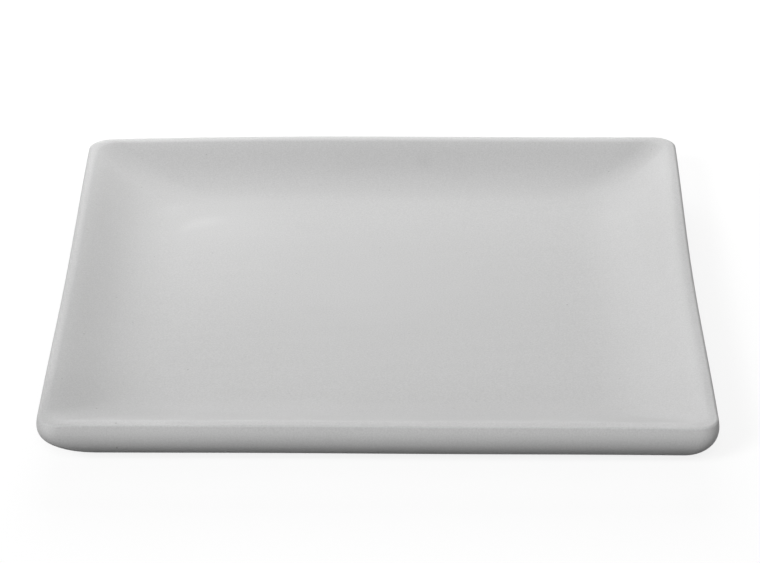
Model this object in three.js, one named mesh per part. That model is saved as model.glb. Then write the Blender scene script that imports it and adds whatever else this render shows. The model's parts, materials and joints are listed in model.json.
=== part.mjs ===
// A square bread plate of fired white clay under a satin-matte white glaze.
//
// Millimetres, +Z up. The origin is the middle of the plane that the foot stands on, and the sides run along
// X and Y. The clay is one solid piece. Two skins of glaze lie on it face to face: one over the well, the lip
// and the outside, and one over the base inside the foot ring. The foot ring between them stays bare, because
// it stands on the kiln shelf while the glaze is molten.

import * as THREE from "three";

// Overall side, measured over the glaze, and the glaze itself.
const PLATE_SIDE = 152;
const GLAZE_THICKNESS = 0.3;

// Heights of the clay, from the table up: the foot ring, the floor, and the well above it. The rim's
// underside clears the table by enough for a fingertip.
const FOOT_HEIGHT = 1.2;
const FLOOR_THICKNESS = 5.5;
const WELL_DEPTH = 6.5;
const RIM_CLEARANCE = 4.05;

// Well: the slope of its walls and the hollow where they meet the floor.
const WALL_ANGLE = THREE.MathUtils.degToRad(24);
const WELL_FILLET_RADIUS = 38;

// Lip, from the well outwards, and the large round of the thick edge, which starts at the lip and turns under
// the plate.
const LIP_INNER_RADIUS = 4;
const LIP_LAND = 0.8;
const LIP_OUTER_RADIUS = 0.4;
const UNDER_RADIUS = 7;

// Foot ring, with its outside this far in from the clay's outline, and the bare clay left on both its sides.
const FOOT_INSET = 16;
const FOOT_EDGE_RADIUS = 0.5;
const TREAD_WIDTH = 4;
const BARE_MARGIN = 0.6;

// Plan: corner radii at the lip, the floor of the well and the foot, and how far firing draws in the middle
// of each side.
const LIP_CORNER_RADIUS = 4.7;
const WELL_CORNER_RADIUS = 8;
const FOOT_CORNER_RADIUS = 12;
const SIDE_DRAW = 0.4;

// Facets along each side, round each corner, and along each round of the profile.
const SIDE_STEPS = 8;
const CORNER_STEPS = 6;
const WELL_FILLET_STEPS = 7;
const LIP_INNER_STEPS = 3;
const LIP_OUTER_STEPS = 3;
const LEAN_STEPS = 2;
const UNDER_STEPS = 6;
const FOOT_EDGE_STEPS = 2;

const CLAY_HALF = PLATE_SIDE / 2 - GLAZE_THICKNESS;
const FLOOR_TOP = FOOT_HEIGHT + FLOOR_THICKNESS;
const LIP_TOP = FLOOR_TOP + WELL_DEPTH;
const TREAD_START = FOOT_INSET + FOOT_EDGE_RADIUS;
const TREAD_END = TREAD_START + TREAD_WIDTH;
const FOOT_INNER = TREAD_END + FOOT_EDGE_RADIUS;
const RIGHT_ANGLE = Math.PI / 2;

// The edge's round is limited by the edge, so that its middle stays below the lip. Above its middle it leans
// in, more so the higher the lip rises over it, and an upright stretch takes what the lean leaves of that
// rise. The lip's outer round touches it from inside, and the crest of the lip starts there.
const EDGE_RADIUS = Math.min(UNDER_RADIUS, LIP_TOP - RIM_CLEARANCE - 2 * LIP_OUTER_RADIUS);
const ROUNDS_APART = EDGE_RADIUS - LIP_OUTER_RADIUS;
const LIP_RISE = LIP_TOP - LIP_OUTER_RADIUS - RIM_CLEARANCE - EDGE_RADIUS;
const LEAN = Math.atan2(LIP_RISE, ROUNDS_APART);
const UPRIGHT = LIP_RISE - ROUNDS_APART * Math.sin(LEAN);
const CREST = EDGE_RADIUS - ROUNDS_APART * Math.cos(LEAN);

// The profile is drawn with x as the distance in from the clay's outline and y as the height. A station is a
// point of it with the corner radius that the plan has there, and the axis is a station with no plan left.
const arc = (centre, radius, from, to, steps) =>
  new THREE.EllipseCurve(centre.x, centre.y, radius, radius, from, to, to < from).getPoints(steps);
const stations = (points, cornerAt) =>
  points.map(({ x, y }) => ({ inset: x, height: y, corner: cornerAt(x) }));
const axis = (height) => ({ inset: CLAY_HALF, height, corner: 0 });

// Well and lip, from the edge of the flat floor outwards. The hollow at the foot of the wall takes no more of
// the well's depth than the lip's own round leaves it.
function wellStations() {
  const lipInnerCentre = new THREE.Vector2(CREST + LIP_LAND, LIP_TOP - LIP_INNER_RADIUS);
  const lipOuterCentre = new THREE.Vector2(CREST, LIP_TOP - LIP_OUTER_RADIUS);
  const wallTop = new THREE.Vector2(
    lipInnerCentre.x + LIP_INNER_RADIUS * Math.sin(WALL_ANGLE),
    lipInnerCentre.y + LIP_INNER_RADIUS * Math.cos(WALL_ANGLE),
  );
  const tallestRounds = WELL_DEPTH / (1 - Math.cos(WALL_ANGLE));
  const filletRadius = Math.min(WELL_FILLET_RADIUS, tallestRounds - LIP_INNER_RADIUS);
  const wallFootHeight = FLOOR_TOP + filletRadius * (1 - Math.cos(WALL_ANGLE));
  const wallFootInset = wallTop.x + (wallTop.y - wallFootHeight) / Math.tan(WALL_ANGLE);
  const floorEdge = wallFootInset + filletRadius * Math.sin(WALL_ANGLE);
  const filletCentre = new THREE.Vector2(floorEdge, FLOOR_TOP + filletRadius);

  const points = [
    ...arc(filletCentre, filletRadius, -RIGHT_ANGLE, -RIGHT_ANGLE - WALL_ANGLE, WELL_FILLET_STEPS),
    ...arc(lipInnerCentre, LIP_INNER_RADIUS, RIGHT_ANGLE - WALL_ANGLE, RIGHT_ANGLE, LIP_INNER_STEPS),
    ...arc(lipOuterCentre, LIP_OUTER_RADIUS, RIGHT_ANGLE, 2 * RIGHT_ANGLE - LEAN, LIP_OUTER_STEPS),
  ];
  return stations(points, (inset) =>
    THREE.MathUtils.lerp(LIP_CORNER_RADIUS, WELL_CORNER_RADIUS, inset / floorEdge),
  );
}

// Outside, from just below the lip to where the glaze ends. Below the round, the underside runs straight to
// the root of the foot ring, along the tangent from the root to the round.
function underStations() {
  const centre = new THREE.Vector2(EDGE_RADIUS, RIM_CLEARANCE + EDGE_RADIUS);
  const upperCentre = new THREE.Vector2(EDGE_RADIUS, centre.y + UPRIGHT);
  const root = new THREE.Vector2(FOOT_INSET, FOOT_HEIGHT);
  const toRoot = root.clone().sub(centre);
  const tangentAngle = toRoot.angle() - Math.acos(EDGE_RADIUS / toRoot.length());
  const leaning = arc(upperCentre, EDGE_RADIUS, 2 * RIGHT_ANGLE - LEAN, 2 * RIGHT_ANGLE, LEAN_STEPS);
  const turningUnder = arc(centre, EDGE_RADIUS, 2 * RIGHT_ANGLE, tangentAngle, UNDER_STEPS);
  const roundEnd = turningUnder[UNDER_STEPS];
  const glazeEnd = root.clone().sub(roundEnd).setLength(-BARE_MARGIN).add(root);
  return stations([...leaning.slice(1), ...turningUnder.slice(1), glazeEnd], (inset) =>
    THREE.MathUtils.lerp(LIP_CORNER_RADIUS, FOOT_CORNER_RADIUS, inset / FOOT_INSET),
  );
}

// Foot ring, from its outer root over the tread to its inner root. Its corners are parallel curves, so that
// the tread keeps its width.
const footCorner = (inset) => FOOT_CORNER_RADIUS - (inset - FOOT_INSET);
function footStations() {
  const outerCentre = new THREE.Vector2(TREAD_START, FOOT_EDGE_RADIUS);
  const innerCentre = new THREE.Vector2(TREAD_END, FOOT_EDGE_RADIUS);
  const points = [
    new THREE.Vector2(FOOT_INSET, FOOT_HEIGHT),
    ...arc(outerCentre, FOOT_EDGE_RADIUS, 2 * RIGHT_ANGLE, 3 * RIGHT_ANGLE, FOOT_EDGE_STEPS),
    ...arc(innerCentre, FOOT_EDGE_RADIUS, 3 * RIGHT_ANGLE, 4 * RIGHT_ANGLE, FOOT_EDGE_STEPS),
    new THREE.Vector2(FOOT_INNER, FOOT_HEIGHT),
  ];
  return stations(points, footCorner);
}

// Stations moved along the profile's outward normal. The radius of a corner grows by as much as its outline
// moves out, and the axis stays where it is.
function pushedOut(profile, distance) {
  return profile.map(({ inset, height, corner }, i) => {
    const before = profile[Math.max(i - 1, 0)];
    const after = profile[Math.min(i + 1, profile.length - 1)];
    const along = new THREE.Vector2(after.inset - before.inset, after.height - before.height).normalize();
    const shift = inset === CLAY_HALF ? 0 : along.y * distance;
    return { inset: inset + shift, height: height - along.x * distance, corner: corner - shift };
  });
}

// One level of the plate: a square with round corners, whose sides are drawn in towards their middles.
function ring({ inset, height, corner }) {
  const reach = CLAY_HALF - inset;
  const straight = reach - corner;
  const draw = (SIDE_DRAW * reach) / CLAY_HALF;
  const quarter = [];
  for (let step = 0; step <= CORNER_STEPS; step++) {
    const angle = (RIGHT_ANGLE * step) / CORNER_STEPS;
    const x = straight + corner * Math.cos(angle);
    const y = straight + corner * Math.sin(angle);
    quarter.push(new THREE.Vector3(x, y, height));
  }
  for (let step = 1; step < SIDE_STEPS; step++) {
    const across = 1 - (2 * step) / SIDE_STEPS;
    const drawn = draw * Math.cos(RIGHT_ANGLE * across) ** 2;
    quarter.push(new THREE.Vector3(straight * across, reach - drawn, height));
  }
  const up = new THREE.Vector3(0, 0, 1);
  return [0, 1, 2, 3].flatMap((turn) =>
    quarter.map((point) => point.clone().applyAxisAngle(up, turn * RIGHT_ANGLE)),
  );
}

// A closed solid lofted through stations that start and end on the axis, with its upper side first. Each quad
// is split along its shorter diagonal, whichever way it is passed, so clay and glaze meet on the same facets.
function loft(profile) {
  const rings = profile.map(ring);
  const around = rings[0].length;
  const points = rings.flat();
  const onAxis = (level) => level === 0 || level === rings.length - 1;
  const index = (level, place) => level * around + (onAxis(level) ? 0 : place % around);
  const triangles = [];
  const addTriangle = (...corners) => {
    if (new Set(corners).size === 3) triangles.push(...corners);
  };
  for (let level = 0; level + 1 < rings.length; level++) {
    for (let place = 0; place < around; place++) {
      const [a, b] = [index(level, place), index(level, place + 1)];
      const [d, c] = [index(level + 1, place), index(level + 1, place + 1)];
      if (points[a].distanceTo(points[c]) < points[b].distanceTo(points[d])) {
        addTriangle(a, d, c);
        addTriangle(a, c, b);
      } else {
        addTriangle(a, d, b);
        addTriangle(b, d, c);
      }
    }
  }
  const geometry = new THREE.BufferGeometry().setFromPoints(points);
  geometry.setIndex(triangles);
  geometry.computeVertexNormals();
  return geometry;
}

const biscuitClay = new THREE.MeshStandardMaterial({ color: 0xd9d4ca, roughness: 0.9, metalness: 0 });
const whiteGlaze = new THREE.MeshStandardMaterial({ color: 0xcecece, roughness: 0.6, metalness: 0 });

// What the glaze covers of the clay: the face and the outside, and the base inside the foot ring.
const baseEdge = new THREE.Vector2(FOOT_INNER + BARE_MARGIN, FOOT_HEIGHT);
const face = [axis(FLOOR_TOP), ...wellStations(), ...underStations()];
const base = [...stations([baseEdge], footCorner), axis(FOOT_HEIGHT)];

function piece(name, profile, material) {
  const mesh = new THREE.Mesh(loft(profile), material);
  mesh.name = name;
  return mesh;
}

const plate = new THREE.Group();
plate.add(
  piece("clay_body", [...face, ...footStations(), ...base], biscuitClay),
  piece("face_glaze", [...pushedOut(face, GLAZE_THICKNESS), ...face.toReversed()], whiteGlaze),
  piece("base_glaze", [...base.toReversed(), ...pushedOut(base, GLAZE_THICKNESS)], whiteGlaze),
);

export default plate;
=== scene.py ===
# %% [markdown]
# # A square bread plate
#
# The plate is one piece of white clay with a shallow well, a narrow lip and a thick edge that turns
# under to a low foot ring. A satin-matte white glaze covers all of it but the foot. This lesson dresses
# the plain solids of the frame: it lofts the clay and its two coats of glaze again with a finer surface,
# lets them warp a little, as clay does in the kiln, and gives them finishes, a camera and soft light.

# %% The frame
import json
import math
from dataclasses import dataclass

import bpy
from mathutils import Matrix, Vector, noise


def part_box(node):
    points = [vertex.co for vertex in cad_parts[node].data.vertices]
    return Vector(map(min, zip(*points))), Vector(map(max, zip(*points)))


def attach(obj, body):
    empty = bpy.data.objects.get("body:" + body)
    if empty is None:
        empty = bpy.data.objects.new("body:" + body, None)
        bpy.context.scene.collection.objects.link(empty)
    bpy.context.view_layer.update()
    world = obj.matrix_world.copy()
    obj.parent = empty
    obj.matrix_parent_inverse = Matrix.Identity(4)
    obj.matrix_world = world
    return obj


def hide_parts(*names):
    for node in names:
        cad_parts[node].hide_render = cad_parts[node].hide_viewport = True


MM = 0.001
RIGHT_ANGLE = math.pi / 2

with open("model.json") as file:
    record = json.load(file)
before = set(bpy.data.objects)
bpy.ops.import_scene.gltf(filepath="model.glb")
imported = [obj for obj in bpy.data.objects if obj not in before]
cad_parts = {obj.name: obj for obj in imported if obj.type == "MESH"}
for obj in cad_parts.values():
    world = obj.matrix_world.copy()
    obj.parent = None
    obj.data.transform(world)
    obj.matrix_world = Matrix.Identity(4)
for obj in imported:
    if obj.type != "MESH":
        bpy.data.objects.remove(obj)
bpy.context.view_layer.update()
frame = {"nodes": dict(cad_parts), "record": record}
print("frame nodes:", sorted(frame["nodes"]))

# %% [markdown]
# ## Sizes
#
# The frame fixes the sizes that other things depend on: the side, the height, the thickness of the
# glaze, the floor of the well and the base inside the foot. The rounds between them are written here in
# millimetres, as on the real plate, and everything else is worked out from these.

# %% Sizes from the frame, and the plate's rounds
clay_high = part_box("clay_body")[1]
glaze_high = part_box("face_glaze")[1]
base_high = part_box("base_glaze")[1]
mounts = {mount["name"]: Vector(mount["pos_m"]) for mount in frame["record"]["mounts"]}

CLAY_HALF = clay_high.x
GLAZE = glaze_high.x - clay_high.x
LIP_TOP = clay_high.z
FLOOR_TOP = mounts["well_floor"].z - GLAZE
FOOT_HEIGHT = base_high.z
BASE_EDGE = CLAY_HALF - base_high.x

WALL_ANGLE = math.radians(24)
WELL_FILLET_RADIUS = 38 * MM
NARROW_LIP_WIDTH, NARROW_LIP_RADIUS = 1.1 * MM, 2.5 * MM
BROAD_LIP_WIDTH, BROAD_LIP_RADIUS = 1.7 * MM, 4.5 * MM
CRISP_EDGE_RADIUS, SOFT_EDGE_RADIUS = 0.06 * MM, 0.9 * MM
FACE_LEAN, TURN_ANGLE = math.radians(8), math.radians(35)
UPRIGHT_HEIGHT = 11.15 * MM
EDGE_RADIUS, TURN_RADIUS = 7 * MM, 10 * MM
FOOT_INSET = 16 * MM
FOOT_EDGE_RADIUS = 0.5 * MM
TREAD_WIDTH = 4 * MM
BARE_MARGIN = 0.6 * MM
LIP_CORNER_RADIUS = 4.7 * MM
WELL_CORNER_RADIUS = 8 * MM
FOOT_CORNER_RADIUS = 12 * MM

HOLLOW_STEPS, WALL_STEPS, LIP_STEPS = 12, 5, 8
FACE_STEPS, EDGE_STEPS, TURN_STEPS, SLOPE_STEPS = 3, 9, 9, 6
FOOT_EDGE_STEPS, TREAD_STEPS, ROLL_STEPS = 5, 4, 4
print(f"clay {2 * CLAY_HALF / MM:.1f} mm square, glaze {GLAZE / MM:.2f} mm thick")

# %% [markdown]
# ## The profile
#
# A potter would draw this plate as one line from the floor of the well, up the wall, over the lip, down
# the edge and under to the foot. It could be a curve object with a bevel, but a plain list of points is
# easier to offset: a coat of glaze is the same line pushed outwards, so clay and glaze always fit. Each
# point says how far it is in from the clay's outline, and how high. Under the lip, the edge leans out a
# little, then turns under in a tight round and a wider one, and ends in a straight slope to the foot.
#
# The lip was smoothed by hand with a wet sponge, so it is narrow on one side and broad on another, and its
# outer edge is crisp here and soft there. So the line is drawn twice, with as many points each time: once
# narrow and crisp, and once broad and soft. The loft later goes from one to the other.

# %% Straight and round stretches
def mixed(first, second, share):
    return first + (second - first) * share


def arc(centre, radius, start, end, steps):
    """Points on an arc, its two ends included."""
    angles = [mixed(start, end, step / steps) for step in range(steps + 1)]
    return [Vector(centre) + radius * Vector((math.cos(a), math.sin(a))) for a in angles]


def between(first, second, steps):
    """Points that divide a straight stretch, without its two ends."""
    return [mixed(first, second, step / steps) for step in range(1, steps)]


print("points on the lip's inner round:", len(arc((0, 0), NARROW_LIP_RADIUS, 0, WALL_ANGLE, LIP_STEPS)))

# %% Well, up to the crest of the lip
def well_line(lip_width, lip_radius):
    """The floor's hollow edge, the wall, and the lip's inner round, which ends this far in on the crest."""
    lip_centre = (lip_width, LIP_TOP - lip_radius)
    lip = arc(lip_centre, lip_radius, RIGHT_ANGLE - WALL_ANGLE, RIGHT_ANGLE, LIP_STEPS)
    wall_foot_height = FLOOR_TOP + WELL_FILLET_RADIUS * (1 - math.cos(WALL_ANGLE))
    wall_foot_inset = lip[0].x + (lip[0].y - wall_foot_height) / math.tan(WALL_ANGLE)
    floor_edge = wall_foot_inset + WELL_FILLET_RADIUS * math.sin(WALL_ANGLE)
    centre = (floor_edge, FLOOR_TOP + WELL_FILLET_RADIUS)
    hollow = arc(centre, WELL_FILLET_RADIUS, -RIGHT_ANGLE, -RIGHT_ANGLE - WALL_ANGLE, HOLLOW_STEPS)
    return hollow + between(hollow[-1], lip[0], WALL_STEPS) + lip


narrow_well = well_line(NARROW_LIP_WIDTH, NARROW_LIP_RADIUS)
broad_well = well_line(BROAD_LIP_WIDTH, BROAD_LIP_RADIUS)
FLOOR_EDGE = broad_well[0].x
print(f"the floor's edge is up to {FLOOR_EDGE / MM:.2f} mm in from the outline")

# %% Lip, edge and underside, to where the glaze ends
foot_root = Vector((FOOT_INSET, FOOT_HEIGHT))
outwards = -2 * RIGHT_ANGLE
edge_centre = Vector((EDGE_RADIUS, UPRIGHT_HEIGHT))
turn_way = Vector((math.cos(TURN_ANGLE), math.sin(TURN_ANGLE)))
turn_centre = edge_centre + (TURN_RADIUS - EDGE_RADIUS) * turn_way
to_root = foot_root - turn_centre
tangent = math.atan2(to_root.y, to_root.x) - math.acos(TURN_RADIUS / to_root.length)
edge = arc(edge_centre, EDGE_RADIUS, outwards - FACE_LEAN, outwards + TURN_ANGLE, EDGE_STEPS)
under = arc(turn_centre, TURN_RADIUS, outwards + TURN_ANGLE, tangent, TURN_STEPS)
glaze_end = foot_root - (foot_root - under[-1]).normalized() * BARE_MARGIN
below_lip = edge + under[1:] + between(under[-1], glaze_end, SLOPE_STEPS) + [glaze_end]


def edge_line(radius):
    """The lip's outer round and the steep face under it, and then the line that all sides share."""
    rise = LIP_TOP - radius - edge_centre.y
    inset = EDGE_RADIUS + (rise * math.sin(FACE_LEAN) - EDGE_RADIUS + radius) / math.cos(FACE_LEAN)
    lip = arc((inset, LIP_TOP - radius), radius, RIGHT_ANGLE, 2 * RIGHT_ANGLE - FACE_LEAN, LIP_STEPS)
    return lip + between(lip[-1], edge[0], FACE_STEPS) + below_lip


crisp_edge = edge_line(CRISP_EDGE_RADIUS)
soft_edge = edge_line(SOFT_EDGE_RADIUS)
print(f"the underside slopes {-math.degrees(tangent + RIGHT_ANGLE):.1f} degrees down to the foot")

# %% Bare foot ring
tread_start = FOOT_INSET + FOOT_EDGE_RADIUS
tread_end = tread_start + TREAD_WIDTH
outer_centre = (tread_start, FOOT_EDGE_RADIUS)
inner_centre = (tread_end, FOOT_EDGE_RADIUS)
tread_outer = arc(outer_centre, FOOT_EDGE_RADIUS, 2 * RIGHT_ANGLE, 3 * RIGHT_ANGLE, FOOT_EDGE_STEPS)
tread_inner = arc(inner_centre, FOOT_EDGE_RADIUS, 3 * RIGHT_ANGLE, 4 * RIGHT_ANGLE, FOOT_EDGE_STEPS)
inner_root = Vector((tread_end + FOOT_EDGE_RADIUS, FOOT_HEIGHT))
base_edge = Vector((BASE_EDGE, FOOT_HEIGHT))
tread = between(tread_outer[-1], tread_inner[0], TREAD_STEPS)
foot_points = [foot_root] + tread_outer + tread + tread_inner + [inner_root, base_edge]
print("points on the foot:", len(foot_points))

# %% [markdown]
# ## Corners that differ
#
# The plan is a square whose corners change along the profile: tight at the lip, open on the floor of the
# well. Hand smoothing leaves no two of them alike: underneath, the front left one is rubbed rounder and
# the front right one is tighter. A bevel could round the corners, but it would make them all alike. So a
# station of the loft is a point of the profile with four corner radii, and stations come in pairs, from the
# two lines. Those in the well tell how broad the lip is, and the others how soft its edge is.

# %% Stations
@dataclass
class Station:
    in_well: bool
    inset: float
    height: float
    corners: tuple


FRONT_LEFT, FRONT_RIGHT = 2, 3
RUBBED_CORNER, TIGHT_CORNER = 2.2 * MM, 5 * MM


def well_station(point):
    corner = mixed(LIP_CORNER_RADIUS, WELL_CORNER_RADIUS, point.x / FLOOR_EDGE)
    return Station(True, *point, (corner,) * 4)


def under_station(point):
    share = point.x / FOOT_INSET
    corners = [mixed(LIP_CORNER_RADIUS, FOOT_CORNER_RADIUS, share)] * 4
    halfway = math.sin(math.pi * share)
    corners[FRONT_LEFT] += RUBBED_CORNER * halfway
    corners[FRONT_RIGHT] -= TIGHT_CORNER * halfway
    return Station(False, *point, tuple(corners))


def foot_station(point):
    return Station(False, *point, (FOOT_CORNER_RADIUS + FOOT_INSET - point.x,) * 4)


def face_stations(well, edge):
    return [well_station(point) for point in well] + [under_station(point) for point in edge]


LIP = len(narrow_well)
first_face = face_stations(narrow_well, crisp_edge)
second_face = face_stations(broad_well, soft_edge)
face = list(zip(first_face, second_face))
foot = [(foot_station(point),) * 2 for point in foot_points]
print(f"pairs of stations: {len(face)} under the glaze, {len(foot)} on the foot")

# %% [markdown]
# ## Coats of glaze
#
# Glaze melts to an even skin and draws up into a rounded roll where it ends. A Solidify modifier could
# thicken the clay's surface, but its rim would be square. So each coat is the profile pushed out along its
# normal, and its last stretch is a quarter round that comes down on the clay.

# %% Offset profile with a rolled end
def moved(station, push):
    """A station moved by a vector, its corners growing as the outline moves out."""
    corners = tuple(radius - push.x for radius in station.corners)
    return Station(station.in_well, station.inset + push.x, station.height + push.y, corners)


def direction(first, second):
    return Vector((second.inset - first.inset, second.height - first.height)).normalized()


def coat(stations, thickness):
    """The outer surface of a coat on stations that run outwards, down to where it meets the clay."""
    skin = []
    for before, here, after in zip(stations[:1] + stations, stations[:-1], stations[1:]):
        along = direction(before, after)
        skin.append(moved(here, Vector((along.y, -along.x)) * thickness))
    along = direction(stations[-2], stations[-1])
    normal = Vector((along.y, -along.x)) * thickness
    for step in range(ROLL_STEPS):
        angle = RIGHT_ANGLE * step / ROLL_STEPS
        back = along * abs(thickness) * (math.sin(angle) - 1)
        skin.append(moved(stations[-1], back + normal * math.cos(angle)))
    return skin


face_coat = list(zip(coat(first_face, GLAZE), coat(second_face, GLAZE)))
base_rim = foot[-1][0]
base_inside = moved(base_rim, Vector((TREAD_WIDTH, 0)))
base_coat = [(station,) * 2 for station in coat([base_inside, base_rim], -GLAZE)]
print(f"coats: {len(face_coat)} pairs of stations on the face, {len(base_coat)} on the base")

# %% [markdown]
# ## What the kiln does
#
# A fired plate is never quite true. The middles of its sides are drawn in, one corner has sunk and takes
# the floor with it, the lip waves a little and the floor sags by a hair. A lattice could bend the meshes
# afterwards, but one function that moves every point of clay and glaze alike keeps them together exactly.
# It leaves the foot flat, because it was ground to stand.

# %% Warp
LEFT_DRAW, RIGHT_DRAW = 0.54 * MM, 0.74 * MM
FRONT_DRAW, BACK_DRAW = 0.10 * MM, 0.30 * MM
BACK_LEFT_SINK = 1.46 * MM
FLOOR_SAG = 0.15 * MM
LIP_WAVE = 0.10 * MM
LIP_WAVE_LENGTH = 45 * MM
FOOT_SHARE = 1 - FOOT_INSET / CLAY_HALF


def smooth(low, high, value):
    share = min(max((value - low) / (high - low), 0), 1)
    return share * share * (3 - 2 * share)


def fired(point):
    """Where firing moves a point of the plate."""
    x, y, z = point
    across, along = x / CLAY_HALF, y / CLAY_HALF
    mid_x = math.cos(RIGHT_ANGLE * min(abs(along), 1)) ** 2
    mid_y = math.cos(RIGHT_ANGLE * min(abs(across), 1)) ** 2
    draw_x = LEFT_DRAW if x < 0 else RIGHT_DRAW
    draw_y = FRONT_DRAW if y < 0 else BACK_DRAW
    at_rim = smooth(FOOT_SHARE, 1, max(abs(across), abs(along)))
    above_foot = smooth(FOOT_HEIGHT, FLOOR_TOP, z)
    free = 1 - (1 - at_rim) * (1 - above_foot)
    sink = BACK_LEFT_SINK * (max(-across, 0) * max(along, 0)) ** 2
    sag = FLOOR_SAG * mid_x * mid_y
    wave = LIP_WAVE * noise.noise(Vector((x, y, 0)) / LIP_WAVE_LENGTH)
    lifted = wave * at_rim - sink * free - sag * above_foot
    return Vector((x - draw_x * across * mid_x, y - draw_y * along * mid_y, z + lifted))


back_left = Vector((-CLAY_HALF, CLAY_HALF, LIP_TOP))
print(f"the back left corner sinks {(LIP_TOP - fired(back_left).z) / MM:.2f} mm")

# %% [markdown]
# ## The loft
#
# Each station becomes a ring of points, and neighbouring rings are joined by quads. A fan of triangles
# would close the middle, but it pinches the shading, so the flat floor and base are grids that share
# their border with the first and the last ring. The same walk lays out the texture space: the skin is
# unrolled flat from each middle, as two square sheets that meet at a fold. Each point also keeps its depth
# below the crest of the lip before firing, because the thin glaze and the painted highlight on the crest
# depend on it.

# %% Rings
CORNER_STEPS = 6
SIDE_STEPS = 44
PER_SIDE = 2 * CORNER_STEPS + SIDE_STEPS
AROUND = 4 * PER_SIDE
EIGHTH = RIGHT_ANGLE / 2


def quarter_turned(point, turns):
    for _ in range(turns):
        point = Vector((-point.y, point.x))
    return point


def plan(station):
    """The outline at a station, anticlockwise from the middle of the back right corner."""
    reach = CLAY_HALF - station.inset
    points = []
    for side in range(4):
        near, far = station.corners[side], station.corners[(side + 1) % 4]
        near_centre = Vector((reach - near, reach - near))
        far_centre = Vector((far - reach, reach - far))
        near_arc = arc(near_centre, near, EIGHTH, RIGHT_ANGLE, CORNER_STEPS)
        far_arc = arc(far_centre, far, RIGHT_ANGLE, RIGHT_ANGLE + EIGHTH, CORNER_STEPS)
        run = near_arc + between(near_arc[-1], far_arc[0], SIDE_STEPS) + far_arc[:-1]
        points += [Vector((*quarter_turned(point, side), station.height)) for point in run]
    return points


print("points in a ring:", AROUND)

# %% Sides of the lip that differ
CORNER_REACH = 14 * MM
LIP_BREADTH = {"front": 0.67, "left": 0.0, "back": 1.0, "right": 0.95}
EDGE_SOFTNESS = {"front": 0.0, "left": 0.9, "back": 0.8, "right": 0.6}


def share_at(point, sides):
    """A share that each side has, at a point of the outline. Corners take the mean of their two sides."""
    across = "left" if point.x < 0 else "right"
    along = "front" if point.y < 0 else "back"
    here, other = (across, along) if abs(point.x) > abs(point.y) else (along, across)
    from_corner = CLAY_HALF - min(abs(point.x), abs(point.y))
    return mixed((sides[here] + sides[other]) / 2, sides[here], smooth(0, CORNER_REACH, from_corner))


crest = plan(first_face[LIP])
breadth_around = [share_at(point, LIP_BREADTH) for point in crest]
softness_around = [share_at(point, EDGE_SOFTNESS) for point in crest]


def ring(pair):
    """Points of the loft at a pair of stations."""
    first, second = pair
    shares = breadth_around if first.in_well else softness_around
    return [mixed(*points) for points in zip(plan(first), plan(second), shares)]


print(f"softness from {min(softness_around):.2f} to {max(softness_around):.2f}")

# %% Grid inside a ring
def grid_inside(border):
    """Points that fill a ring, as rows from back to front, without those of the ring itself."""
    closed = border + border[:1]
    back, left, front, right = [closed[n * PER_SIDE:(n + 1) * PER_SIDE + 1] for n in range(4)]
    front, right = front[::-1], right[::-1]
    points = []
    for row in range(1, PER_SIDE):
        down = row / PER_SIDE
        for column in range(1, PER_SIDE):
            over = column / PER_SIDE
            rails = mixed(back[column], front[column], down) + mixed(right[row], left[row], over)
            ends = mixed(mixed(back[0], back[-1], over), mixed(front[0], front[-1], over), down)
            points.append(rails - ends)
    return points


def grid_index(row, column, border_start, inner_start):
    """The vertex at a node of the grid: one of the ring's on the border, one of its own inside."""
    if row == 0:
        return border_start + column
    if column == PER_SIDE:
        return border_start + PER_SIDE + row
    if row == PER_SIDE:
        return border_start + 3 * PER_SIDE - column
    if column == 0:
        return border_start + (4 * PER_SIDE - row) % AROUND
    return inner_start + (row - 1) * (PER_SIDE - 1) + column - 1


def grid_faces(border_start, inner_start):
    faces = []
    for row in range(PER_SIDE):
        for column in range(PER_SIDE):
            nodes = [(row, column), (row, column + 1), (row + 1, column + 1), (row + 1, column)]
            faces.append([grid_index(*node, border_start, inner_start) for node in nodes])
    return faces


print("quads in a grid:", PER_SIDE ** 2)

# %% Points and faces of a closed skin
def skin_of(pairs):
    """Points of a loft, the pair number of each, and its faces: the walls and then the two grids."""
    rings = [ring(pair) for pair in pairs]
    points = [point for each in rings for point in each]
    level = [number for number in range(len(pairs)) for _ in range(AROUND)]
    last = len(pairs) - 1
    walls = []
    for number in range(last):
        for place in range(AROUND):
            here, there = number * AROUND + place, number * AROUND + (place + 1) % AROUND
            walls.append([here, here + AROUND, there + AROUND, there])
    grids = []
    for end in (0, last):
        grids.append(grid_faces(end * AROUND, len(points)))
        points += grid_inside(rings[end])
        level += [end] * (len(points) - len(level))
    upper, lower = grids
    return points, level, walls + upper + [corners[::-1] for corners in lower]


print("quads between two rings:", AROUND)

# %% Texture space
SHEET_MARGIN = 0.01


def unrolled_reach(stations):
    """How far each station lies from the middle, measured along the skin."""
    reach = [CLAY_HALF - stations[0].inset]
    for before, here in zip(stations, stations[1:]):
        step = math.hypot(here.inset - before.inset, here.height - before.height)
        reach.append(reach[-1] + step)
    return reach


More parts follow.
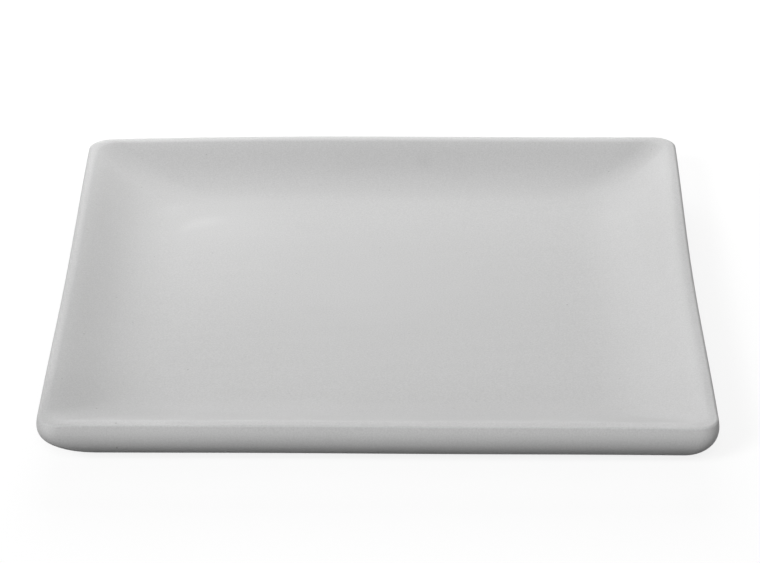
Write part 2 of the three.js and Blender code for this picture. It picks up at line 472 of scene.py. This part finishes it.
def unroll(mesh, points, level, stations, fold, upper_share):
    """Lays the skin out as two sheets that meet at the station numbered fold. The upper one gets this share
    of the space, from its lower left corner, and the other one the rest, from its upper right corner."""
    upper = unrolled_reach(stations[:fold + 1])
    lower = unrolled_reach(stations[fold:][::-1])[::-1]
    walls = (len(stations) - 1) * AROUND
    layout = mesh.uv_layers.new(name="OFBake")
    for polygon in mesh.polygons:
        is_upper = polygon.index < fold * AROUND or walls <= polygon.index < walls + PER_SIDE ** 2
        reaches, first = (upper, 0) if is_upper else (lower, fold)
        width = upper_share if is_upper else 1 - upper_share
        middle = width / 2 if is_upper else 1 - width / 2
        scale = (width / 2 - SHEET_MARGIN) / max(reaches)
        for loop in polygon.loop_indices:
            vertex = mesh.loops[loop].vertex_index
            number = level[vertex]
            spread = scale * reaches[number - first] / (CLAY_HALF - stations[number].inset)
            layout.data[loop].uv = Vector((middle, middle)) + points[vertex].xy * spread


print(f"along the skin, the crest is {unrolled_reach(first_face)[LIP] / MM:.1f} mm from the middle")

# %% Closed piece
SHARP_EDGE = math.radians(40)
OUTER_FALL = 4


def below_crest(height, in_well):
    """Millimetres below the glazed crest of the lip. Those on its outer side count several times over."""
    depth = (LIP_TOP + GLAZE - height) / MM
    return depth if in_well else OUTER_FALL * depth


def lofted(name, pairs, fold, upper_share):
    """A closed piece through pairs of stations, upper side first, with its texture space."""
    points, level, faces = skin_of(pairs)
    mesh = bpy.data.meshes.new(name)
    mesh.from_pydata([fired(point) for point in points], [], faces)
    mesh.polygons.foreach_set("use_smooth", [True] * len(faces))
    mesh.set_sharp_from_angle(angle=SHARP_EDGE)
    depths = [below_crest(point.z, pairs[number][0].in_well) for point, number in zip(points, level)]
    mesh.attributes.new("below_crest", "FLOAT", "POINT").data.foreach_set("value", depths)
    unroll(mesh, points, level, [first for first, second in pairs], fold, upper_share)
    piece = bpy.data.objects.new(name, mesh)
    bpy.context.scene.collection.objects.link(piece)
    print(f"{name}: {len(mesh.vertices)} points, {len(faces)} quads")
    return piece


print(f"the floor of the well is {below_crest(FLOOR_TOP + GLAZE, True):.1f} mm below the crest")

# %% [markdown]
# ## Clay
#
# The clay is the plate itself, pressed or cast in one piece. Only its foot ring stays bare, because glaze
# there would stick to the kiln shelf. The whole solid is made all the same, so that it can be printed.

# %% Clay body
clay_body = lofted("plate_clay", face + foot, fold=LIP, upper_share=0.3)
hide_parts("clay_body")

# %% [markdown]
# ## Glaze on the face
#
# The coat runs from the middle of the well over the lip and down under the rim. Its inner surface is the
# clay's own line walked back, so that the coat is a closed skin with a real thickness at its rolled end.

# %% Face glaze
coat_and_clay_side = face_coat + face[::-1]
face_glaze = lofted("plate_face_glaze", coat_and_clay_side, fold=len(face_coat), upper_share=0.75)
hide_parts("face_glaze")

# %% [markdown]
# ## Glaze on the base
#
# The base inside the foot is glazed too. A flat sheet would look the same, but a closed skin has a real
# edge and can be printed. This coat hangs under the clay, so the clay side comes first.

# %% Base glaze
base_glaze = lofted("plate_base_glaze", [foot[-1]] + base_coat[::-1], fold=0, upper_share=0.25)
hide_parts("base_glaze")
for piece in (clay_body, face_glaze, base_glaze):
    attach(piece, "root")

# %% [markdown]
# ## Shader sums in Python
#
# A finish is a sum of small effects, and a node graph hides that sum. This class wraps a socket, so that
# an expression such as 1 - mask adds the Math nodes by itself. Every other node comes from one method.

# %% Sockets with operators
class Wire:
    """A socket of a shader that Python's operators join by Math nodes."""

    def __init__(self, nodes, socket):
        self.nodes = nodes
        self.socket = socket

    def maths(self, operation, first, second):
        return self.nodes.add("ShaderNodeMath", {"operation": operation}, {0: first, 1: second})

    def __add__(self, other):
        return self.maths("ADD", self, other)

    def __radd__(self, other):
        return self.maths("ADD", other, self)

    def __sub__(self, other):
        return self.maths("SUBTRACT", self, other)

    def __rsub__(self, other):
        return self.maths("SUBTRACT", other, self)

    def __mul__(self, other):
        return self.maths("MULTIPLY", self, other)

    def __rmul__(self, other):
        return self.maths("MULTIPLY", other, self)


class Nodes:
    """The node tree of a material or of the world."""

    def __init__(self, owner):
        owner.use_nodes = True
        self.tree = owner.node_tree
        self.tree.nodes.clear()

    def add(self, kind, settings, inputs, output=0):
        """A new node: its settings first, then the values or links of its sockets."""
        node = self.tree.nodes.new(kind)
        for name, value in settings.items():
            setattr(node, name, value)
        for name, value in inputs.items():
            if isinstance(value, Wire):
                self.tree.links.new(value.socket, node.inputs[name])
            else:
                node.inputs[name].default_value = value
        return Wire(self, node.outputs[output]) if node.outputs else None


def grey(value):
    return (value, value, value, 1)


def blended(nodes, share, first, second):
    """A colour between two others, or past them. A Mix node takes colours at 6 and 7 and gives one at 2."""
    settings = {"data_type": "RGBA", "clamp_factor": False}
    return nodes.add("ShaderNodeMix", settings, {0: share, 6: first, 7: second}, 2)


print("shader helper ready")

# %% [markdown]
# ## Patterns at real sizes
#
# Every pattern on the plate has a size in millimetres, so the coordinates are turned into millimetres
# once, and a pattern is asked for by the size of its spots. Noise makes the grain and the strokes,
# scattered dots are pinholes or specks, and a mark is one soft oval at a known place.

# %% Places and noise
def millimetres(nodes):
    metres = nodes.add("ShaderNodeTexCoord", {}, {}, "Object")
    return nodes.add("ShaderNodeVectorMath", {"operation": "SCALE"}, {0: metres, "Scale": 1 / MM})


def stretched(nodes, place, centre, angle, length, width):
    """Places seen from a centre, along an angle to the front, where 1 is this length or width."""
    inputs = {
        "Vector": place,
        "Location": (*centre, 0),
        "Rotation": (0, 0, angle),
        "Scale": (length, width, width),
    }
    return nodes.add("ShaderNodeMapping", {"vector_type": "TEXTURE"}, inputs)


def spots(nodes, place, size, detail=2):
    """Soft noise between about -0.5 and 0.5, with spots of this size."""
    inputs = {"Vector": place, "Scale": 1 / size, "Detail": detail}
    return nodes.add("ShaderNodeTexNoise", {"noise_dimensions": "3D"}, inputs) - 0.5


print("patterns are asked for in millimetres")

# %% Dots and marks
def faded(nodes, distance, radius):
    """1 at no distance, falling softly to 0 at the radius."""
    settings = {"interpolation_type": "SMOOTHSTEP"}
    return nodes.add("ShaderNodeMapRange", settings, {"Value": distance, "From Min": radius, "From Max": 0})


def dots(nodes, place, spacing, radius):
    """Round dots scattered through the material, so that its surface cuts each at some other depth."""
    inputs = {"Vector": place, "Scale": 1 / spacing}
    distance = nodes.add("ShaderNodeTexVoronoi", {"feature": "F1"}, inputs, "Distance")
    return faded(nodes, distance, radius / spacing)


def mark(nodes, place, centre, angle, length, width):
    """One soft oval of this length and width, the same at all heights."""
    flat = nodes.add("ShaderNodeVectorMath", {"operation": "MULTIPLY"}, {0: place, 1: (1, 1, 0)})
    seen_from = stretched(nodes, flat, centre, angle, length / 2, width / 2)
    distance = nodes.add("ShaderNodeVectorMath", {"operation": "LENGTH"}, {0: seen_from}, "Value")
    return faded(nodes, distance, 1)


print("marks are placed from the middle of the plate")

# %% [markdown]
# ## Satin glaze
#
# The glaze is a neutral white that neither shines nor looks chalky. Close up it has a fine grain of
# crystals, faint strokes where it was wiped on along the well, slow patches where it lies thicker, and
# pinholes where gas came out in the kiln. Grain, strokes and pinholes also go into a bump of a few
# thousandths of a millimetre. An image texture could hold all this, but noise has no seams and no
# resolution.
#
# Broad marks of painted light and painted shade lie over the glaze too. A pale stretch of painted light
# runs along the back and down the left, and turns in a crescent of painted highlight. Painted shade darkens
# the walls and the front, most of all by the left corner. One photograph can't tell all of these from the
# light, so each mark is one soft oval, which can be moved or left out by itself.

# %% Painted light and shade marks
# A mark has a strength, a centre, an angle in degrees, and a length and a width in millimetres.
# Painted light: pools of light on the floor and lip, and a painted highlight in the crescent, as a paler
# glaze.
PAINTED_LIGHT_MARKS = {
    "painted light along the back": (0.18, (10, 44), 0, 220, 56),
    "painted light down the left": (0.24, (-47, 18), 80, 120, 60),
    "turn of the painted light": (0.16, (-42, 36), 20, 62, 40),
    "back left of the floor": (0.12, (-57, 49), 0, 34, 30),
    "middle of the floor": (0.16, (-24, 16), 0, 110, 90),
    "back left corner": (0.20, (-63, 61), 135, 30, 22),
    "crescent": (0.33, (-44.5, 37.8), 28, 17, 9.5),
    "tail of the crescent": (0.15, (-49, 34.2), 60, 10, 5),
    "spot behind the crescent": (0.16, (-52.5, 45.5), 30, 13, 9),
}
# Painted shade: the walls and the front are darkened where less light falls.
PAINTED_SHADE_MARKS = {
    "shade spot on the back wall": (0.20, (10.9, 66.2), 0, 6, 8),
    "back wall": (0.28, (0, 69), 0, 240, 22),
    "left wall": (0.32, (-71, 24), 90, 180, 24),
    "right wall": (0.36, (70, 44), 90, 150, 26),
    "along the front": (0.26, (10, -62), 0, 220, 52),
    "front left corner": (0.34, (-66, -64), 60, 84, 46),
}


def marked(nodes, place, marks):
    """The sum of some marks at a place."""
    total = 0
    for strength, centre, angle, length, width in marks.values():
        total = total + strength * mark(nodes, place, centre, math.radians(angle), length, width)
    return total


def painted_light_and_shade(nodes, place):
    """Painted light and painted shade: how much lighter or darker the glaze is painted where light falls
    and where shade falls.
    """
    return marked(nodes, place, PAINTED_LIGHT_MARKS) - marked(nodes, place, PAINTED_SHADE_MARKS)


print(f"wiping marks: {len(PAINTED_LIGHT_MARKS)} pale, {len(PAINTED_SHADE_MARKS)} dull")

# %% Pinholes
PINHOLE_SPACING, PINHOLE_RADIUS = 6, 0.3
FINE_PINHOLES = 0.6
LARGER_PINHOLES = [(-57.9, -74.8), (-63.5, -61.0), (-44.2, -38.5), (44.9, -5.5)]


def pitting(nodes, place):
    """Pinholes: fine ones all over, and the larger ones, each at its place."""
    pits = FINE_PINHOLES * dots(nodes, place, PINHOLE_SPACING, PINHOLE_RADIUS)
    for centre in LARGER_PINHOLES:
        pits = pits + mark(nodes, place, centre, 0, 2 * PINHOLE_RADIUS, 2 * PINHOLE_RADIUS)
    return pits


print("larger pinholes:", len(LARGER_PINHOLES))

# %% [markdown]
# ## Thin glaze and a painted highlight on the crest
#
# Molten glaze runs off an edge, so over the crest of the lip it is thin and the pale clay shows through it.
# The same paler tone is also a painted highlight along the crest. On the front it is thinnest and palest
# towards both ends, partly thin glaze and partly painted highlight. On the broad right side and at the
# front left corner the coat has stayed and the crest gets no painted highlight. A mask by height would miss
# the warped corner, so the depth that each point kept from the loft is read here by an Attribute node.

# %% Thinning and painted highlight
# The paler tone here is partly thin glaze and partly a painted highlight along the crest.
CREST_DEPTH, SHOULDER_DEPTH = 0.32, 1.8
CREST_SHARE = 0.7
THIN_AND_HIGHLIGHTED_ENDS = {
    "left end of the front": (0.6, (-54, -76), 0, 50, 30),
    "right end of the front": (0.7, (66, -76), 0, 50, 30),
}
COATED_UNHIGHLIGHTED_STRETCHES = {
    "right side": (1.0, (76, 5), 90, 190, 24),
    "front left corner": (1.0, (-76, -70), 90, 50, 20),
}


def thin_glaze_and_crest_highlight(nodes, place):
    """How thin the glaze has run, and how much painted highlight lies on the crest: all at the crest, and a
    little down its two shoulders.
    """
    depth = nodes.add("ShaderNodeAttribute", {"attribute_name": "below_crest"}, {}, "Fac")
    crest = CREST_SHARE * faded(nodes, depth, CREST_DEPTH)
    shoulders = (1 - CREST_SHARE) * faded(nodes, depth, SHOULDER_DEPTH)
    along = 1 + marked(nodes, place, THIN_AND_HIGHLIGHTED_ENDS) - marked(nodes, place, COATED_UNHIGHLIGHTED_STRETCHES)
    return (crest + shoulders) * along


print(f"the glaze runs thin down to {SHOULDER_DEPTH} mm below the crest")

# %% [markdown]
# ## The glaze as a whole
#
# All that varies, painted light and shade included, is now summed to one tone, which goes from a duller
# grey to a paler one, and the pinholes are darkened with painted shade on top of it. The glaze could be a
# clear layer over the clay, but a satin glaze lets light through only where it has run thin, and there a
# paler tone does as well. So one Principled surface is enough. It is rough, with little sheen, because the
# crystals scatter the light.

# %% Glaze material
GLAZE_GREY = 0.615
DULL_GREY, PALE_GREY, PIT_GREY = 0.9 * GLAZE_GREY, 1.1 * GLAZE_GREY, 0.3 * GLAZE_GREY
GRAIN_SIZE, PATCH_SIZE = 0.36, 22
STROKE_TILT = math.radians(8)
STROKE_LENGTH, STROKE_WIDTH, STROKE_DETAIL = 34, 3, 3
MIDDLE_TONE, GRAIN_TONE, STROKE_TONE, PATCH_TONE, THIN_GLAZE_AND_HIGHLIGHT_TONE = 0.5, 1.5, 0.12, 0.25, 0.5
PIT_SHADE = 0.7
GRAIN_HEIGHT, STROKE_HEIGHT, PIT_DEPTH = 0.004, 0.0015, 0.03
SATIN_ROUGHNESS, PATCH_ROUGHNESS, GRAIN_ROUGHNESS = 0.6, 0.12, 0.08
GLAZE_IOR, GLAZE_SHEEN = 1.5, 0.2


def glaze_material():
    material = bpy.data.materials.new("satin_white_glaze")
    nodes = Nodes(material)
    place = millimetres(nodes)
    wiped = stretched(nodes, place, (0, 0), STROKE_TILT, STROKE_LENGTH, STROKE_WIDTH)
    grain = spots(nodes, place, GRAIN_SIZE)
    strokes = spots(nodes, wiped, 1, STROKE_DETAIL)
    patches = spots(nodes, place, PATCH_SIZE)
    pits = pitting(nodes, place)

    noise_tone = GRAIN_TONE * grain + STROKE_TONE * strokes + PATCH_TONE * patches
    # Painted light and shade from the marks and the painted highlight on the crest go into this tone.
    tone = MIDDLE_TONE + noise_tone + painted_light_and_shade(nodes, place) + THIN_GLAZE_AND_HIGHLIGHT_TONE * thin_glaze_and_crest_highlight(nodes, place)
    coat_colour = blended(nodes, tone, grey(DULL_GREY), grey(PALE_GREY))
    # Painted shade: the pinholes are darkened as if shade filled them; their depth is only a bump.
    colour = blended(nodes, PIT_SHADE * pits, coat_colour, grey(PIT_GREY))
    height = GRAIN_HEIGHT * grain + STROKE_HEIGHT * strokes - PIT_DEPTH * pits
    bump = nodes.add("ShaderNodeBump", {}, {"Strength": 1, "Distance": MM, "Height": height})
    shine = {
        "Base Color": colour,
        "Roughness": SATIN_ROUGHNESS + PATCH_ROUGHNESS * patches + GRAIN_ROUGHNESS * grain,
        "IOR": GLAZE_IOR,
        "Specular IOR Level": GLAZE_SHEEN,
        "Normal": bump,
    }
    surface = nodes.add("ShaderNodeBsdfPrincipled", {}, shine)
    nodes.add("ShaderNodeOutputMaterial", {}, {"Surface": surface})
    return material


satin_glaze = glaze_material()
for piece in (face_glaze, base_glaze):
    piece.data.materials.append(satin_glaze)
print("finish:", satin_glaze.name)

# %% [markdown]
# ## Bare clay
#
# Where the foot has no glaze, the white clay shows dry, a little warm, and rough like fine sandpaper. It
# has brown specks of iron, and handling has stained it in slow patches. The tread itself is paler and
# smoother, because it was ground flat and has slid over tables since. All of this follows from the place on
# the foot, so noise and the height above the table are enough.

# %% Clay material
CLAY_CREAM = (0.60, 0.57, 0.52, 1)
CLAY_STAIN = (0.47, 0.43, 0.37, 1)
IRON_BROWN = (0.16, 0.10, 0.06, 1)
GRIT_SIZE, STAIN_SIZE = 0.35, 9
SPECK_SPACING, SPECK_RADIUS = 2.2, 0.2
TREAD_WEAR_HEIGHT = 0.15
SOIL, STAIN_SOIL, GRIT_SOIL, SOIL_WORN_OFF = 0.35, 1.2, 0.5, 0.3
SPECK_SHADE = 0.8
GRIT_WORN_OFF = 0.6
GRIT_HEIGHT = 0.05
GROUND_ROUGHNESS, GRIT_ROUGHNESS = 0.65, 0.3


def clay_material():
    material = bpy.data.materials.new("bare_fired_clay")
    nodes = Nodes(material)
    place = millimetres(nodes)
    grit = spots(nodes, place, GRIT_SIZE)
    stains = spots(nodes, place, STAIN_SIZE)
    specks = dots(nodes, place, SPECK_SPACING, SPECK_RADIUS)
    height_above_table = nodes.add("ShaderNodeSeparateXYZ", {}, {0: place}, "Z")
    worn = faded(nodes, height_above_table, TREAD_WEAR_HEIGHT)

    dirty = SOIL + STAIN_SOIL * stains + GRIT_SOIL * grit - SOIL_WORN_OFF * worn
    clay_colour = blended(nodes, dirty, CLAY_CREAM, CLAY_STAIN)
    colour = blended(nodes, SPECK_SHADE * specks, clay_colour, IRON_BROWN)
    rough = 1 - GRIT_WORN_OFF * worn
    height = GRIT_HEIGHT * grit * rough
    bump = nodes.add("ShaderNodeBump", {}, {"Strength": 1, "Distance": MM, "Height": height})
    finish = {"Base Color": colour, "Roughness": GROUND_ROUGHNESS + GRIT_ROUGHNESS * rough, "Normal": bump}
    surface = nodes.add("ShaderNodeBsdfPrincipled", {}, finish)
    nodes.add("ShaderNodeOutputMaterial", {}, {"Surface": surface})
    return material


bare_clay = clay_material()
clay_body.data.materials.append(bare_clay)
print("finish:", bare_clay.name)

# %% [markdown]
# ## Camera
#
# The camera was fitted to the outline of the plate in the photograph: a long lens, a little under a metre
# away, looking down on the front edge. It could be aimed at a target by a constraint, but angles round the
# plate and a distance can be fitted one at a time, so its place is worked out from those.

# %% Camera
FRAME_WIDTH_PX = 760
FOCAL_PX = 3456.4
SENSOR_WIDTH_MM = 36
VIEW_AZIMUTH = math.radians(0.382)
VIEW_ELEVATION = math.radians(27.574)
VIEW_ROLL = math.radians(0.096)
VIEW_DISTANCE = 854.41 * MM
VIEW_TARGET = Vector((-0.147, 19.381, 0)) * MM

camera_data = bpy.data.cameras.new("photo_camera")
camera_data.sensor_fit = "HORIZONTAL"
camera_data.sensor_width = SENSOR_WIDTH_MM
camera_data.lens = FOCAL_PX / FRAME_WIDTH_PX * SENSOR_WIDTH_MM
camera_data.clip_start = 10 * MM
camera = bpy.data.objects.new("photo_camera", camera_data)
turn = Matrix.Rotation(VIEW_AZIMUTH, 4, "Z")
tilt = Matrix.Rotation(RIGHT_ANGLE - VIEW_ELEVATION, 4, "X")
roll = Matrix.Rotation(VIEW_ROLL, 4, "Z")
away = Matrix.Translation((0, 0, VIEW_DISTANCE))
camera.matrix_world = Matrix.Translation(VIEW_TARGET) @ turn @ tilt @ roll @ away
bpy.context.scene.collection.objects.link(camera)
bpy.context.scene.camera = camera
bpy.context.scene.view_settings.view_transform = "Standard"
print(f"lens {camera_data.lens:.1f} mm, {VIEW_DISTANCE:.2f} m away")

# %% [markdown]
# ## Floor and background
#
# The plate stands on a pale sheet that fills the view. The sheet glows for the rays that the camera sees,
# straight or by reflection, so that it comes out white and still keeps a soft shadow. For the light that
# it throws back on the plate it stays dark, as under the real edge, which fades almost to black. It lies a
# hair below the foot, so that the two don't share a plane.

# %% Floor
FLOOR_HALF = 3.0
FLOOR_DROP = 0.02 * MM
FLOOR_GLOW = 0.84
FLOOR_PAPER = 0.22
FLOOR_BOUNCE = 0.02


def seen_rays(nodes):
    """1 for rays that the camera follows straight, by reflection or through glass, and 0 for the rest."""
    names = ("Is Camera Ray", "Is Glossy Ray", "Is Transmission Ray")
    straight, reflected, through = [nodes.add("ShaderNodeLightPath", {}, {}, name) for name in names]
    return straight + reflected + through


def floor_material():
    material = bpy.data.materials.new("pale_studio_floor")
    nodes = Nodes(material)
    seen = seen_rays(nodes)
    shade = blended(nodes, seen, grey(FLOOR_BOUNCE), grey(FLOOR_PAPER))
    paper = nodes.add("ShaderNodeBsdfDiffuse", {}, {"Color": shade})
    glow = nodes.add("ShaderNodeEmission", {}, {"Color": grey(1), "Strength": FLOOR_GLOW * seen})
    surface = nodes.add("ShaderNodeAddShader", {}, {0: paper, 1: glow})
    nodes.add("ShaderNodeOutputMaterial", {}, {"Surface": surface})
    return material


floor_mesh = bpy.data.meshes.new("studio_floor")
floor_corners = [(-1, -1, 0), (1, -1, 0), (1, 1, 0), (-1, 1, 0)]
floor_mesh.from_pydata([Vector(corner) * FLOOR_HALF for corner in floor_corners], [], [(0, 1, 2, 3)])
floor_mesh.materials.append(floor_material())
floor = bpy.data.objects.new("studio_floor", floor_mesh)
floor.location.z = -FLOOR_DROP
bpy.context.scene.collection.objects.link(floor)
print("floor side in metres:", 2 * FLOOR_HALF)

# %% World
AMBIENT = 0.02

world = bpy.data.worlds.new("studio")
bpy.context.scene.world = world
sky = Nodes(world)
strength = AMBIENT + (1 - AMBIENT) * seen_rays(sky)
background = sky.add("ShaderNodeBackground", {}, {"Color": grey(1), "Strength": strength})
sky.add("ShaderNodeOutputWorld", {}, {"Surface": background})
print("ambient light:", AMBIENT)

# %% [markdown]
# ## Light
#
# Two soft boxes in front, one of them to the left, light the edge that faces the camera. Three weaker ones
# stand close behind the plate, two of them low. They skim the floor of the well, so that it fades towards
# the front, brighten the walls that face them and leave the back and left walls in shade. Two small ones at
# the height of the lip light the outer sides and the corners, and pass over the well. A picture of a studio
# could light the plate all round, but each lamp can be moved by itself, and a lamp with an area has soft
# shadows. Where the real lamps stood isn't known, so these were set by comparing renders with the
# photograph.

# %% Soft boxes
def soft_box(name, azimuth, elevation, distance, size, power):
    """A square lamp that faces the plate. Azimuth 0 is in front of it, and 90 to its right."""
    data = bpy.data.lights.new(name, "AREA")
    data.shape = "SQUARE"
    data.size = size
    data.energy = power
    lamp = bpy.data.objects.new(name, data)
    lamp.visible_camera = False
    around = Matrix.Rotation(math.radians(azimuth), 4, "Z")
    above = Matrix.Rotation(RIGHT_ANGLE - math.radians(elevation), 4, "X")
    lamp.matrix_world = around @ above @ Matrix.Translation((0, 0, distance))
    bpy.context.scene.collection.objects.link(lamp)
    return lamp


soft_box("front_box", azimuth=0, elevation=37, distance=2.0, size=0.4, power=11.3)
soft_box("front_left_box", azimuth=330, elevation=32, distance=2.0, size=0.5, power=22.2)
soft_box("back_box", azimuth=180, elevation=35, distance=0.6, size=0.4, power=1.25)
soft_box("back_left_box", azimuth=215, elevation=15, distance=0.42, size=0.3, power=0.34)
soft_box("back_low_box", azimuth=180, elevation=15, distance=0.42, size=0.3, power=0.74)
soft_box("left_low_box", azimuth=270, elevation=0.8, distance=1.0, size=0.05, power=1.8)
soft_box("right_low_box", azimuth=90, elevation=0.8, distance=1.0, size=0.05, power=1.7)
